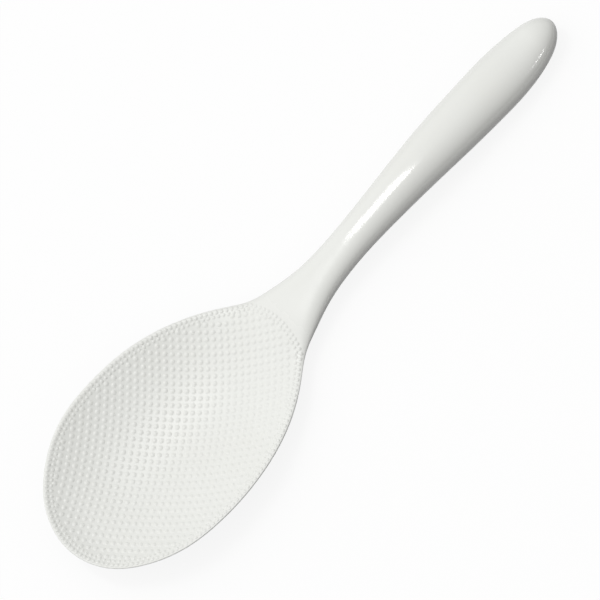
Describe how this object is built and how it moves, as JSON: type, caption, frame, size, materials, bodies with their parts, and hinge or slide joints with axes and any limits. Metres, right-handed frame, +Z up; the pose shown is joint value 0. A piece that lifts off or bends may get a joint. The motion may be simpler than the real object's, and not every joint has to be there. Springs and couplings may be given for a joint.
{
  "type": "rice paddle",
  "caption": "Rice paddle with a shallow egg-shaped dish, a thin raised rim, a slim neck and a plump arched hollow handle closed by a flush back cover.",
  "frame": {"origin": "centre of the bounding box at its lowest level, which is the surface that the paddle lies on", "axes": "+X along the paddle from the tip of the blade to the end of the handle, +Y across the blade, +Z up out of the hollow side of the dish"},
  "size_m": [0.23, 0.07, 0.0145],
  "materials": {
    "paddle_body": "off-white moulded plastic, glossy on the handle and the neck, covered with fine domed nubs on the blade",
    "handle_back_cover": "off-white moulded plastic, glossy"
  },
  "bodies": {
    "root": {"paddle_body": "paddle_body", "handle_back_cover": "handle_back_cover"}
  },
  "joints": []
}
